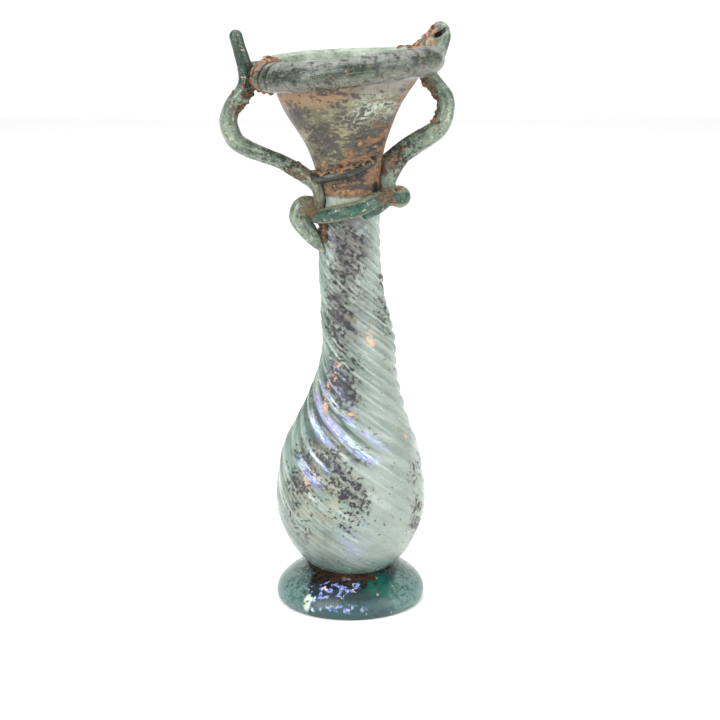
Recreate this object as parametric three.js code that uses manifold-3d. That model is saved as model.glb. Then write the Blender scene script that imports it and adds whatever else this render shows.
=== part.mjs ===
// A small two-handled flask of blown glass, an amphoriskos, in millimetres, +Z up.
// The origin is the centre of the foot's underside. The front is -Y, and +X is to the right of it.
// The flask is one piece: a bubble of glass with twisted ribs, a pad foot, two rod handles that
// run on above the rim, and trails wound on the neck, all joined while hot.

import * as THREE from 'three';
import { mergeVertices } from 'three/addons/utils/BufferGeometryUtils.js';
import Module from 'manifold-3d';

const wasm = await Module();
wasm.setup();

// Main heights: the widest part of the belly, then up the neck to its waist, then up the funnel to
// the middle of the rolled rim.
const BELLY_Z = 29;
const NECK_LENGTH = 78;
const FUNNEL_HEIGHT = 31.7;
const WAIST_Z = BELLY_Z + NECK_LENGTH;
const ROLL_Z = WAIST_Z + FUNNEL_HEIGHT;

// Foot: a thick domed pad with a flat underside, narrower at the base. The body joins it in a groove.
const FOOT_RADIUS = 19.3;
const FOOT_EDGE_Z = 1.7;
const FOOT_UNDERCUT = 1.5;
const FOOT_DOME_HEIGHT = 9.2;
const JOIN_RADIUS = 10.2;
const JOIN_GROOVE = 0.6;
const FOOT_BASE_RADIUS = FOOT_RADIUS - FOOT_UNDERCUT;
const JOIN_Z = FOOT_EDGE_Z + FOOT_DOME_HEIGHT * Math.sqrt(1 - (JOIN_RADIUS / FOOT_RADIUS) ** 2);

// Body and neck: radius of the wall between the ribs. The shares count from the belly to the waist.
const BELLY_RADIUS = 19.5;
const SHOULDER_RADIUS = 17.5;
const SHOULDER_SHARE = 0.147;
const SLOPE_RADIUS = 13.6;
const SLOPE_SHARE = 0.269;
const TAPER_RADIUS = 10.3;
const TAPER_SHARE = 0.397;
const NECK_LOW_RADIUS = 8.6;
const NECK_LOW_SHARE = 0.538;
const NECK_RADIUS = 7.4;
const NECK_SHARE = 0.782;
const WAIST_RADIUS = 7.5;

// Funnel mouth with a thick rolled rim. The shares count from the waist to the middle of the roll.
// The rim is tilted, higher on the right, and the more so in front, and its back lies a little lower.
const THROAT_RADIUS = 9.3;
const THROAT_SHARE = 0.347;
const FLARE_RADIUS = 14.2;
const FLARE_SHARE = 0.678;
const ROLL_CENTRE_RADIUS = 20.1;
const ROLL_THICKNESS = 7.3;
const ROLL_START_DEG = -125;
const ROLL_END_DEG = 145;
const ROLL_STEPS = 9;
const FRONT_TILT_DEG = 7.2;
const BACK_TILT_DEG = 2.2;
const BACK_DROP = 1.1;

// Walls. The mouth opens inside the middle of the roll.
const WALL = 1.6;
const MOUTH_INSET = 2.5;
const FLOOR_Z = 13;

// Twisted ribs, which fade on the belly and stop below the thick neck trail. Their rise is the
// height that they climb for each millimetre round the wall, and this share of them is sunk in it.
const RIB_COUNT = 14;
const RIB_HEIGHT = 0.9;
const RIB_SINK_SHARE = 0.4;
const NECK_RIB_RISE = 0.9;
const BODY_RIB_RISE = 0.72;
const RIB_LOW_Z = BELLY_Z - 13;
const RIB_FULL_Z = BELLY_Z + 15;
const RIB_TOP_Z = WAIST_Z - 2;
const RIB_FADE = 4;
const COLUMNS_PER_RIB = 3;
const ROW_STEP = 2.9;
const HOLLOW_COLUMNS = 30;

// Handles: rods of glass from the neck above the waist out to an elbow and up to the rim.
const HANDLE_ROD = 4.3;
const LEFT_REACH = 29.8;
const LEFT_FOOT_UP = 3.5;
const RIGHT_REACH = 23.6;
const RIGHT_FOOT_UP = 4.3;
const THUMB_ROD = 3.5;

// Trails wound on the neck, slightly sunk in the wall.
const UPPER_TRAIL_ROD = 2.2;
const LOWER_TRAIL_ROD = 3.4;
const KNOB_SIZE = 5.6;
const LOOP_ROD = 4.4;
const TRAIL_SINK = 0.3;
const ROD_SIDES = 8;
const ROD_STEP = 2.4;
const ROD_END_SHARE = 0.8;

function neckZ(share) {
  return BELLY_Z + share * NECK_LENGTH;
}

function funnelZ(share) {
  return WAIST_Z + share * FUNNEL_HEIGHT;
}

// How the centre of the flask strays to the right of the foot's centre, as [height, offset].
const SWAY = [
  [0, 0],
  [neckZ(0.14), 0.1],
  [neckZ(0.46), 2.1],
  [neckZ(0.73), 0.2],
  [neckZ(0.91), -0.3],
  [WAIST_Z, 0.1],
  [funnelZ(FLARE_SHARE), -1.6],
  [ROLL_Z, -0.4],
];

const swayCurve = new THREE.SplineCurve(SWAY.map(([z, x]) => new THREE.Vector2(z, x)));

function swayAt(z) {
  const last = SWAY.length - 1;
  let k = 0;
  while (k < last - 1 && z > SWAY[k + 1][0]) k += 1;
  const share = THREE.MathUtils.clamp((z - SWAY[k][0]) / (SWAY[k + 1][0] - SWAY[k][0]), 0, 1);
  return swayCurve.getPoint((k + share) / last).y;
}

// A point of the flask that is round and upright before it sways and its mouth tilts.
function settle(radius, angle, z) {
  const x = radius * Math.cos(angle);
  const y = radius * Math.sin(angle);
  const backShare = THREE.MathUtils.clamp(0.5 + y / (2 * ROLL_CENTRE_RADIUS), 0, 1);
  const tilt = THREE.MathUtils.lerp(FRONT_TILT_DEG, BACK_TILT_DEG, backShare);
  const lift = x * Math.tan(THREE.MathUtils.degToRad(tilt)) - BACK_DROP * backShare;
  return new THREE.Vector3(x + swayAt(z), y, z + lift * THREE.MathUtils.smoothstep(z, WAIST_Z, ROLL_Z));
}

function spline(points) {
  return new THREE.SplineCurve(points.map(([r, z]) => new THREE.Vector2(r, z)));
}

function manifoldOf(geometry) {
  geometry.deleteAttribute('normal');
  geometry.deleteAttribute('uv');
  const merged = mergeVertices(geometry, 1e-4);
  return new wasm.Manifold(new wasm.Mesh({
    numProp: 3,
    vertProperties: merged.attributes.position.array,
    triVerts: Uint32Array.from(merged.index.array),
  }));
}

// A closed skin through rings of equal length, with a fan at each end.
function skin(rings) {
  const count = rings[0].length;
  const centreOf = (ring) => ring.reduce((sum, p) => sum.add(p), new THREE.Vector3()).divideScalar(count);
  const points = [...rings.flat(), centreOf(rings[0]), centreOf(rings.at(-1))];
  const first = points.length - 2;
  const top = (rings.length - 1) * count;
  const index = [];
  for (let j = 0; j < count; j += 1) {
    const next = (j + 1) % count;
    for (let k = 0; k < rings.length - 1; k += 1) {
      const low = k * count;
      const high = low + count;
      index.push(low + j, low + next, high + next, low + j, high + next, high + j);
    }
    index.push(first, next, j, first + 1, top + j, top + next);
  }
  const geometry = new THREE.BufferGeometry().setFromPoints(points);
  geometry.setIndex(index);
  return geometry;
}

// Outer outline of the wall from the belly to the roll, as [radius, height].
const WALL_POINTS = [
  [BELLY_RADIUS, BELLY_Z],
  [SHOULDER_RADIUS, neckZ(SHOULDER_SHARE)],
  [SLOPE_RADIUS, neckZ(SLOPE_SHARE)],
  [TAPER_RADIUS, neckZ(TAPER_SHARE)],
  [NECK_LOW_RADIUS, neckZ(NECK_LOW_SHARE)],
  [NECK_RADIUS, neckZ(NECK_SHARE)],
  [WAIST_RADIUS, WAIST_Z],
  [THROAT_RADIUS, funnelZ(THROAT_SHARE)],
  [FLARE_RADIUS, funnelZ(FLARE_SHARE)],
];

// An arc of an ellipse from one angle to another, in degrees from straight out, as [radius, height].
function arc(centreRadius, centreZ, across, up, from, to, steps) {
  return Array.from({ length: steps + 1 }, (_, k) => {
    const angle = THREE.MathUtils.degToRad(from + ((to - from) * k) / steps);
    return [centreRadius + across * Math.cos(angle), centreZ + up * Math.sin(angle)];
  });
}

function footOutline() {
  const joinAngle = THREE.MathUtils.radToDeg(Math.acos(JOIN_RADIUS / FOOT_RADIUS));
  return [[FOOT_BASE_RADIUS, 0], ...arc(0, FOOT_EDGE_Z, FOOT_RADIUS, FOOT_DOME_HEIGHT, 0, joinAngle, 5)];
}

function bellyOutline() {
  const joinAngle = Math.acos((JOIN_RADIUS + JOIN_GROOVE) / BELLY_RADIUS);
  const depth = (BELLY_Z - JOIN_Z) / Math.sin(joinAngle);
  return arc(0, BELLY_Z, BELLY_RADIUS, depth, -THREE.MathUtils.radToDeg(joinAngle), 0, 6).slice(0, -1);
}

function wallOutline() {
  const curve = spline(WALL_POINTS);
  const steps = Math.round(curve.getLength() / ROW_STEP);
  return curve.getSpacedPoints(steps).map((p) => [p.x, p.y]);
}

function rimOutline() {
  const half = ROLL_THICKNESS / 2;
  return arc(ROLL_CENTRE_RADIUS, ROLL_Z, half, half, ROLL_START_DEG, ROLL_END_DEG, ROLL_STEPS);
}

function ribHeightAt(z) {
  const fadeIn = THREE.MathUtils.smoothstep(z, RIB_LOW_Z, RIB_FULL_Z);
  const fadeOut = 1 - THREE.MathUtils.smoothstep(z, RIB_TOP_Z - RIB_FADE, RIB_TOP_Z);
  return RIB_HEIGHT * fadeIn * fadeOut;
}

function ribRiseAt(z) {
  const share = THREE.MathUtils.inverseLerp(neckZ(SLOPE_SHARE), neckZ(NECK_SHARE), z);
  return THREE.MathUtils.lerp(BODY_RIB_RISE, NECK_RIB_RISE, THREE.MathUtils.clamp(share, 0, 1));
}

// The blown bubble and its foot, filled. The columns of points run along the ribs.
function filledBubble() {
  const outline = [...footOutline(), ...bellyOutline(), ...wallOutline(), ...rimOutline()];
  const columns = RIB_COUNT * COLUMNS_PER_RIB;
  let twist = 0;
  let below = outline[0];
  const rings = outline.map(([radius, z]) => {
    const ribbed = z > RIB_LOW_Z && z < RIB_TOP_Z;
    if (ribbed) twist -= (z - below[1]) / (ribRiseAt(z) * radius);
    below = [radius, z];
    const height = ribHeightAt(z);
    return Array.from({ length: columns }, (_, j) => {
      const phase = (2 * Math.PI * j) / COLUMNS_PER_RIB;
      const crest = height * (0.5 + 0.5 * Math.cos(phase) - RIB_SINK_SHARE);
      return settle(radius + crest, (2 * Math.PI * j) / columns + twist, z);
    });
  });
  return manifoldOf(skin(rings));
}

// The hollow: body cavity, neck bore and funnel, open through the mouth.
function hollow() {
  const belly = arc(0, BELLY_Z, BELLY_RADIUS - WALL, BELLY_Z - FLOOR_Z, -80, 0, 6).slice(0, -1);
  const wall = spline(WALL_POINTS.map(([r, z]) => [r - WALL, z])).getPoints(13).map((p) => [p.x, p.y]);
  const mouthRadius = ROLL_CENTRE_RADIUS - MOUTH_INSET;
  const mouth = [
    [mouthRadius, ROLL_Z],
    [mouthRadius, ROLL_Z + ROLL_THICKNESS],
  ];
  const step = (2 * Math.PI) / HOLLOW_COLUMNS;
  const rings = [...belly, ...wall, ...mouth].map(([radius, z]) =>
    Array.from({ length: HOLLOW_COLUMNS }, (_, j) => settle(radius, j * step, z)));
  return manifoldOf(skin(rings));
}

// Radius of the wall at a height, between the ribs.
function wallRadiusAt(z) {
  const rows = wallOutline();
  const k = Math.max(rows.findIndex((row) => row[1] > z), 1);
  const [below, above] = [rows[k - 1], rows[k]];
  return THREE.MathUtils.mapLinear(z, below[1], above[1], below[0], above[0]);
}

// A stop of a rod is its place and its thickness. This one lies on the wall, so far above the waist,
// at an angle counted from the right, anticlockwise seen from above, so that 270 is the front. It may
// stand further out.
function onWall(degrees, up, thickness, out = 0) {
  const z = WAIST_Z + up;
  const radius = wallRadiusAt(z) + thickness / 2 - TRAIL_SINK + out;
  return { at: settle(radius, THREE.MathUtils.degToRad(degrees), z), thickness };
}

// A stop beside the rim, so far outside and above the middle of the roll.
function onRim(degrees, out, up, thickness) {
  const angle = THREE.MathUtils.degToRad(degrees);
  return { at: settle(ROLL_CENTRE_RADIUS + out, angle, ROLL_Z + up), thickness };
}

// Stops of a handle's arm and elbow, as shares of the way out to its reach and up to the rim.
function arm(side, footUp, reach, shares) {
  const footZ = WAIST_Z + footUp;
  const root = wallRadiusAt(footZ);
  return shares.map(([outShare, upShare, thickness]) => {
    const x = side * THREE.MathUtils.lerp(root, reach, outShare);
    return { at: new THREE.Vector3(x, 0, THREE.MathUtils.lerp(footZ, ROLL_Z, upShare)), thickness };
  });
}

// A rod of glass through its stops, with rounded ends.
function rod(stops) {
  const path = new THREE.CatmullRomCurve3(stops.map((stop) => stop.at), false, 'centripetal');
  const steps = Math.round(path.getLength() / ROD_STEP);
  const frames = path.computeFrenetFrames(steps, false);
  const radiusAt = (share) => {
    const place = share * (stops.length - 1);
    const k = Math.min(Math.floor(place), stops.length - 2);
    return THREE.MathUtils.lerp(stops[k].thickness, stops[k + 1].thickness, place - k) / 2;
  };
  const rings = [];
  for (let k = 0; k <= steps; k += 1) {
    const share = path.getUtoTmapping(k / steps);
    const radius = radiusAt(share);
    const slices = k === 0 ? [-ROD_END_SHARE, 0] : [0];
    if (k === steps) slices.push(ROD_END_SHARE);
    for (const slice of slices) {
      const centre = path.getPoint(share).addScaledVector(frames.tangents[k], slice * radius);
      const around = radius * Math.sqrt(1 - slice * slice);
      rings.push(Array.from({ length: ROD_SIDES }, (_, j) => {
        const angle = (2 * Math.PI * j) / ROD_SIDES;
        return centre.clone().addScaledVector(frames.normals[k], around * Math.cos(angle))
          .addScaledVector(frames.binormals[k], around * Math.sin(angle));
      }));
    }
  }
  return manifoldOf(skin(rings));
}

// The left handle starts as a tail on the front of the neck, and ends as the front leg of the thumb-rest.
function leftHandle() {
  const d = HANDLE_ROD;
  return rod([
    onWall(212, -2.5, d - 1.6),
    onWall(210, 0, d - 1.5),
    onWall(194, LEFT_FOOT_UP, d - 0.6, 0.2),
    ...arm(-1, LEFT_FOOT_UP, LEFT_REACH, [
      [0.38, 0.14, d - 0.4],
      [0.57, 0.2, d - 0.2],
      [0.78, 0.265, d],
      [0.93, 0.34, d + 0.2],
      [1, 0.46, d + 0.2],
      [1, 0.56, d],
      [0.93, 0.68, d],
    ]),
    onRim(180, 5.2, -4.2, d + 0.6),
    onRim(180, 3.7, -1.4, d + 0.4),
    onRim(180, 3.8, 1.4, d - 0.6),
    onRim(180, 6.2, 5.6, THUMB_ROD),
    onRim(180, 7.2, 9.8, THUMB_ROD),
  ]);
}

// The back leg of the left thumb-rest, down to the rim.
function leftThumb() {
  return rod([
    onRim(180, 7, 9.3, THUMB_ROD - 0.4),
    onRim(175, 6.4, 6.2, THUMB_ROD - 0.4),
    onRim(171, 4.8, 2.8, THUMB_ROD - 0.2),
    onRim(166, 3.6, -0.4, THUMB_ROD),
  ]);
}

function rightHandle() {
  const d = HANDLE_ROD;
  return rod([
    onWall(350, 0.5, d - 0.5),
    onWall(355, RIGHT_FOOT_UP, d + 0.8, -0.5),
    ...arm(1, RIGHT_FOOT_UP, RIGHT_REACH, [
      [0.3, 0.17, d + 0.3],
      [0.5, 0.265, d + 0.5],
      [0.75, 0.37, d + 0.7],
      [0.93, 0.46, d + 0.2],
      [1, 0.58, d],
      [1, 0.71, d],
    ]),
    onRim(3, 2.4, -6, d),
    onRim(5, 0, -3.4, d),
  ]);
}

// A second strand lies on the right arm, from the throat to near the elbow.
function rightStrand() {
  const d = HANDLE_ROD - 1.2;
  return rod([
    onWall(354, RIGHT_FOOT_UP + 3.8, d + 0.6, -0.3),
    ...arm(1, RIGHT_FOOT_UP, RIGHT_REACH, [
      [0.33, 0.27, d],
      [0.57, 0.36, d],
      [0.76, 0.42, d],
    ]),
  ]);
}

// The right thumb-rest: a rod bent double over the rim and pinched, with a small slit near its tip.
function rightThumb() {
  const d = THUMB_ROD;
  return rod([
    onRim(8, 1.6, -0.9, d + 0.4),
    onRim(12, 3.4, 3, d),
    onRim(15, 4.7, 6.6, d - 0.3),
    onRim(18, 4.2, 8.6, d - 0.2),
    onRim(21, 3, 7.4, d - 0.2),
    onRim(26, 2, 5, d),
    onRim(34, 0.8, 2.7, d + 0.4),
    onRim(45, -0.6, 1.2, d),
  ]);
}

function upperTrail() {
  const d = UPPER_TRAIL_ROD;
  return rod([
    onWall(188, 4.4, d + 0.6),
    onWall(225, 4.9, d + 0.2),
    onWall(262, 6.2, d),
    onWall(292, 7.6, d - 0.5),
    onWall(318, 9, d - 1.1),
  ]);
}

// The thick trail starts at the loop, crosses the front, bulges in a knob and runs on round the back.
function lowerTrail() {
  const d = LOWER_TRAIL_ROD;
  return rod([
    onWall(200, -4.8, d - 0.4),
    onWall(218, -5, d),
    onWall(248, -3.7, d),
    onWall(283, -2.4, d),
    onWall(318, -0.6, d - 0.4),
    onWall(338, -0.2, d),
    onWall(352, -0.7, KNOB_SIZE, 2.4),
    onWall(8, -1, KNOB_SIZE - 0.6, 1.8),
    onWall(40, -2.4, d),
    onWall(80, -3, d),
    onWall(120, -3.4, d),
    onWall(155, -3, d),
    onWall(185, -2.6, d, 0.8),
  ]);
}

function lowerStrand() {
  const d = LOWER_TRAIL_ROD;
  return rod([
    onWall(298, -5.4, d - 1.6),
    onWall(318, -4.2, d - 1),
    onWall(340, -2.8, d - 0.6, 0.4),
  ]);
}

// The loop beside the trail's left end, which comes back to the neck below it.
function leftLoop() {
  const d = LOOP_ROD;
  return rod([
    onWall(195, -2.5, d - 0.6, 0.4),
    onWall(190, -2.9, d, 2.4),
    onWall(190, -5.5, d, 3.5),
    onWall(192, -8, d - 0.1, 2),
    onWall(196, -10.2, d - 0.6, 0.5),
    onWall(206, -12.2, d - 1.3),
  ]);
}

// Sealed pockets between two rods and the wall are glass too.
function withoutPockets(solid) {
  const shells = solid.decompose().filter((shell) => shell.volume() > 0);
  return shells.reduce((whole, shell) => whole.add(shell));
}

function glass() {
  return new THREE.MeshStandardMaterial({
    color: 0x8fb3a6,
    roughness: 0.25,
    metalness: 0,
    transparent: true,
    opacity: 0.6,
  });
}

function meshOf(solid, name) {
  const { vertProperties, triVerts } = solid.getMesh();
  const geometry = new THREE.BufferGeometry();
  geometry.setAttribute('position', new THREE.BufferAttribute(vertProperties, 3));
  geometry.setIndex(new THREE.BufferAttribute(triVerts, 1));
  geometry.computeVertexNormals();
  const mesh = new THREE.Mesh(geometry, glass());
  mesh.name = name;
  return mesh;
}

const rods = [
  leftHandle(),
  leftThumb(),
  rightHandle(),
  rightStrand(),
  rightThumb(),
  upperTrail(),
  lowerTrail(),
  lowerStrand(),
  leftLoop(),
];
const filled = rods.reduce((solid, part) => solid.add(part), filledBubble());
const flask = new THREE.Group();
flask.add(meshOf(withoutPockets(filled.subtract(hollow())), 'amphoriskos'));

export default flask;
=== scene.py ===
"""A small two-handled flask of weathered glass, an amphoriskos, on a plain pale floor.

Lengths are millimetres and are turned into metres where a mesh is made, apart from the stage's, which
are metres. The frame is the CAD's: +Z up, the origin at the centre of the foot's underside, -Y the front.
"""

import math
from functools import partial

import bmesh
import bpy
import numpy as np
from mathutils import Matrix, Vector


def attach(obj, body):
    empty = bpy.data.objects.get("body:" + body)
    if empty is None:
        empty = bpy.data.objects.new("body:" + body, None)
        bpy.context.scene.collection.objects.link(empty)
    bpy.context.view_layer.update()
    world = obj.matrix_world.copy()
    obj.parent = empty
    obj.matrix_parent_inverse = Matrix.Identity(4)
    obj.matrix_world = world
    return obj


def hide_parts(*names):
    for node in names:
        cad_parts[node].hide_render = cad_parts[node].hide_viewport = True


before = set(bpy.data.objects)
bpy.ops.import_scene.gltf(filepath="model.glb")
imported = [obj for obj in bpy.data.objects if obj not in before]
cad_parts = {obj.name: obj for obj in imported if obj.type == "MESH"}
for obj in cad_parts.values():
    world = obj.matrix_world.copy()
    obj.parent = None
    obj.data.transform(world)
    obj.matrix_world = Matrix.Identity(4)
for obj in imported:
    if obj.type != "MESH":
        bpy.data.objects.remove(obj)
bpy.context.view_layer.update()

MM = 0.001

# Foot: a thick domed pad with a flat underside.
FOOT_RADIUS = 19.3
FOOT_EDGE_Z = 1.7
FOOT_BASE_RADIUS = 17.8
FOOT_DOME_HEIGHT = 9.2
UNDERSIDE_RINGS = 10
JOIN_RADIUS = 10.2


def dome_height_at(radius):
    return FOOT_EDGE_Z + FOOT_DOME_HEIGHT * math.sqrt(1 - (radius / FOOT_RADIUS) ** 2)


JOIN_Z = dome_height_at(JOIN_RADIUS)

# Body and neck: radius of the wall between the ribs, at each height.
BELLY_Z = 29
BELLY_RADIUS = 19.5
BELLY_DEPTH = 23.4
WAIST_Z = 107
ROLL_Z = 138.7
ROLL_CENTRE_RADIUS = 20.1
ROLL_THICKNESS = 7.3
ROLL_START_DEG = -125
ROLL_END_DEG = 128
UNDER_ROLL_ROWS = 15
WALL_POINTS = [
    (BELLY_RADIUS, BELLY_Z),
    (17.5, 40.5),
    (13.6, 50),
    (10.3, 60),
    (8.6, 71),
    (7.4, 90),
    (7.5, WAIST_Z),
    (9.3, 118),
    (14.2, 128.5),
]

# The mouth's tilt, and how the centre strays to the right, as (height, offset).
FRONT_TILT_DEG = 7.2
BACK_TILT_DEG = 2.2
BACK_DROP = 1.1
SWAY = [(0, 0), (40, 0.1), (65, 2.1), (86, 0.2), (100, -0.3), (WAIST_Z, 0.1), (128.5, -1.6), (ROLL_Z, -0.4)]

# Walls and the hollow.
WALL = 1.6
MOUTH_RADIUS = 17.6
FLOOR_Z = 13

# Twisted ribs.
RIB_COUNT = 14
RIB_HEIGHT = 0.95
NECK_RIB_RISE = 0.9
BODY_RIB_RISE = 0.72
RIB_LOW_Z = 18
RIB_FULL_Z = 50
RIB_TOP_Z = 106
COLUMNS_PER_RIB = 14
ROW_STEP = 0.55

# Where the body's clean glass gives way to the soil on the funnel.
FUNNEL_SOIL_Z = 107.5

# Crevices across the left end of the rolled rim, as (angle about the flask, depth).
CREVICES = ((203, 0.9), (212, 0.5))
CREVICE_WIDTH_DEG = 1.6

# Rods of glass.
HANDLE_ROD = 4.3
LEFT_REACH = 29.8
LEFT_FOOT_Z = 110.5
RIGHT_REACH = 23.6
RIGHT_FOOT_Z = 111.3
THUMB_ROD = 3.5
UPPER_TRAIL_ROD = 2.8
LOWER_TRAIL_ROD = 4.0
KNOB_SIZE = 5.6
LOOP_ROD = 4.9
TRAIL_SINK = 0.3
ROD_SIDES = 24
ROD_STEP = 0.5
ROD_VOXEL = 0.32
ROUTE_GAP = 100
NEAREST_BLOCK = 4000

# The slit near the tip of the right thumb-rest, from the front: its ends as (across, height).
SLIT = ((23.6, 147.1), (21.4, 145.4))
SLIT_WIDTH = 0.75
SLIT_DEPTH = 0.8
SLIT_BACK = 7.5

# Materials, in the order of the flask's slots.
FOOT, BODY, FUNNEL, RIM, INSIDE = range(5)
GLASS_IOR = 1.5

# Caked soil.
SOIL_VOXEL = 0.26
SOIL_ROUGHNESS = 0.16
SOIL_SEED = 41

# The stage, in metres. The camera is the photograph's: a long lens above the rim, looking down on the foot.
FLOOR_GREY = 0.93
STUDIO_STRENGTH = 0.42
CAMERA_PLACE = (0.0026, -0.444, 0.1783)
CAMERA_DIP_DEG = 14.45
CAMERA_LENS = 89.5
CAMERA_SENSOR = 36


def catmull(values, at):
    """A curve through evenly spaced values, at positions counted in values."""
    values = np.asarray(values, float)
    at = np.asarray(at, float)
    k = np.clip(np.floor(at).astype(int), 0, len(values) - 2)
    t = (at - k).reshape(at.shape + (1,) * (values.ndim - 1))
    p0, p1 = values[np.maximum(k - 1, 0)], values[k]
    p2, p3 = values[k + 1], values[np.minimum(k + 2, len(values) - 1)]
    v0, v1 = (p2 - p0) / 2, (p3 - p1) / 2
    return (2 * p1 - 2 * p2 + v0 + v1) * t**3 + (3 * p2 - 3 * p1 - 2 * v0 - v1) * t**2 + v0 * t + p1


def smoothstep(low, high, x):
    """From 0 at low to 1 at high. Low may be the greater."""
    t = np.clip((np.asarray(x, float) - low) / (high - low), 0, 1)
    return t * t * (3 - 2 * t)


def swell(points, size, seed, waves=12):
    """A smooth random field of about unit strength, whose bumps are about size across."""
    rng = np.random.default_rng(seed)
    direction = rng.normal(size=(waves, 3))
    direction /= np.linalg.norm(direction, axis=1)[:, None]
    direction *= rng.uniform(0.6, 1.5, waves)[:, None]
    phase = rng.uniform(0, 2 * math.pi, waves)
    return np.sin(points @ direction.T * (math.pi / size) + phase).sum(axis=1) / math.sqrt(waves / 2)


def sway_at(z):
    heights, offsets = zip(*SWAY)
    return catmull(offsets, np.interp(z, heights, np.arange(len(heights))))


def settle(radius, angle, z):
    """A point that is round and upright before the flask sways and its mouth tilts."""
    radius, angle, z = np.broadcast_arrays(*(np.asarray(v, float) for v in (radius, angle, z)))
    x, y = radius * np.cos(angle), radius * np.sin(angle)
    back = np.clip(0.5 + y / (2 * ROLL_CENTRE_RADIUS), 0, 1)
    tilt = np.radians(FRONT_TILT_DEG + (BACK_TILT_DEG - FRONT_TILT_DEG) * back)
    lift = x * np.tan(tilt) - BACK_DROP * back
    return np.stack([x + sway_at(z), y, z + lift * smoothstep(WAIST_Z, ROLL_Z, z)], axis=-1)


def arc(centre_radius, centre_z, across, up, start, end, step):
    """An arc of an ellipse between two angles in degrees from straight out, as rows (radius, height)."""
    steps = max(2, round(math.radians(abs(end - start)) * max(across, up) / step))
    angle = np.radians(np.linspace(start, end, steps + 1))
    return np.stack([centre_radius + across * np.cos(angle), centre_z + up * np.sin(angle)], axis=1)


def spaced(points, step):
    """Rows along a smooth curve through the points, evenly spaced."""
    fine = catmull(points, np.linspace(0, len(points) - 1, 40 * len(points)))
    length = np.concatenate([[0], np.cumsum(np.linalg.norm(np.diff(fine, axis=0), axis=1))])
    at = np.linspace(0, length[-1], round(length[-1] / step) + 1)
    return np.stack([np.interp(at, length, fine[:, k]) for k in range(fine.shape[1])], axis=1)


def foot_rows():
    edge = FOOT_RADIUS - FOOT_BASE_RADIUS
    join_angle = math.degrees(math.acos(JOIN_RADIUS / FOOT_RADIUS))
    return np.concatenate([
        np.stack([np.linspace(1, FOOT_BASE_RADIUS, UNDERSIDE_RINGS), np.zeros(UNDERSIDE_RINGS)], axis=1),
        arc(FOOT_BASE_RADIUS, FOOT_EDGE_Z, edge, FOOT_EDGE_Z, -70, -10, ROW_STEP),
        arc(0, FOOT_EDGE_Z, FOOT_RADIUS, FOOT_DOME_HEIGHT, 0, join_angle, ROW_STEP),
    ])


def roll_rows():
    half = ROLL_THICKNESS / 2
    return arc(ROLL_CENTRE_RADIUS, ROLL_Z, half, half, ROLL_START_DEG, ROLL_END_DEG, ROW_STEP)


def outer_rows():
    belly_angle = math.degrees(math.acos((JOIN_RADIUS + 0.6) / BELLY_RADIUS))
    return np.concatenate([
        foot_rows(),
        arc(0, BELLY_Z, BELLY_RADIUS, BELLY_DEPTH, -belly_angle, 0, ROW_STEP)[:-1],
        spaced(WALL_POINTS, ROW_STEP),
        under_roll()[1:-1],
        roll_rows(),
    ])


def under_roll():
    """The funnel's last stretch, nearly straight, from the flare up to where the roll curls over it."""
    share = np.linspace(0, 1, UNDER_ROLL_ROWS)[:, None]
    return np.array(WALL_POINTS[-1]) * (1 - share) + roll_rows()[0] * share


def inner_rows():
    """The hollow from the mouth down to the floor, in longer steps."""
    mouth = np.array([[MOUTH_RADIUS + 0.25, ROLL_Z + 1.2], [MOUTH_RADIUS, ROLL_Z - 0.5]])
    wall = spaced([(r - WALL, z) for r, z in WALL_POINTS], 2 * ROW_STEP)[::-1]
    top = spaced([tuple(mouth[1]), (MOUTH_RADIUS - 1.1, ROLL_Z - 3.6), tuple(wall[0])], ROW_STEP)[1:-1]
    belly = arc(0, BELLY_Z, BELLY_RADIUS - WALL, BELLY_Z - FLOOR_Z, 0, -86, 2 * ROW_STEP)[1:]
    return np.concatenate([mouth, top, wall, belly])


def rib_height_at(z):
    fade_in = smoothstep(RIB_LOW_Z, RIB_FULL_Z, z)
    return RIB_HEIGHT * fade_in * (1 - smoothstep(RIB_TOP_Z - 4, RIB_TOP_Z, z))


def bubble_rings():
    """The skin of the blown flask as rings, up the outside, over the rim and down the inside.

    Returns the points, and for each of them its place before twisting and how near it is to a rib's crest.
    """
    columns = RIB_COUNT * COLUMNS_PER_RIB
    share = 2 * math.pi * np.arange(columns) / columns
    twist = 0.0
    rings, upright, crests = [], [], []
    below = (0.0, 0.0)
    for radius, z in outer_rows():
        if JOIN_Z < z < RIB_TOP_Z + 2:
            rise = np.interp(z, [50, 90], [BODY_RIB_RISE, NECK_RIB_RISE])
            climb = z - below[1] if z > BELLY_Z else math.hypot(radius - below[0], z - below[1])
            twist -= climb / (rise * radius)
        below = (radius, z)
        ring, crest = ribbed_ring(radius, z, share, twist)
        rings.append(ring)
        upright.append(place_on_ring(share, z))
        crests.append(crest)
    for radius, z in inner_rows():
        rings.append(settle(radius, share + twist, z))
        upright.append(place_on_ring(share, z))
        crests.append(np.full(columns, 0.5))
    return np.array(rings), np.array(upright), np.array(crests)


def place_on_ring(share, z):
    return np.stack([12 * np.cos(share), 12 * np.sin(share), np.full(share.shape, float(z))], axis=1)


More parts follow.
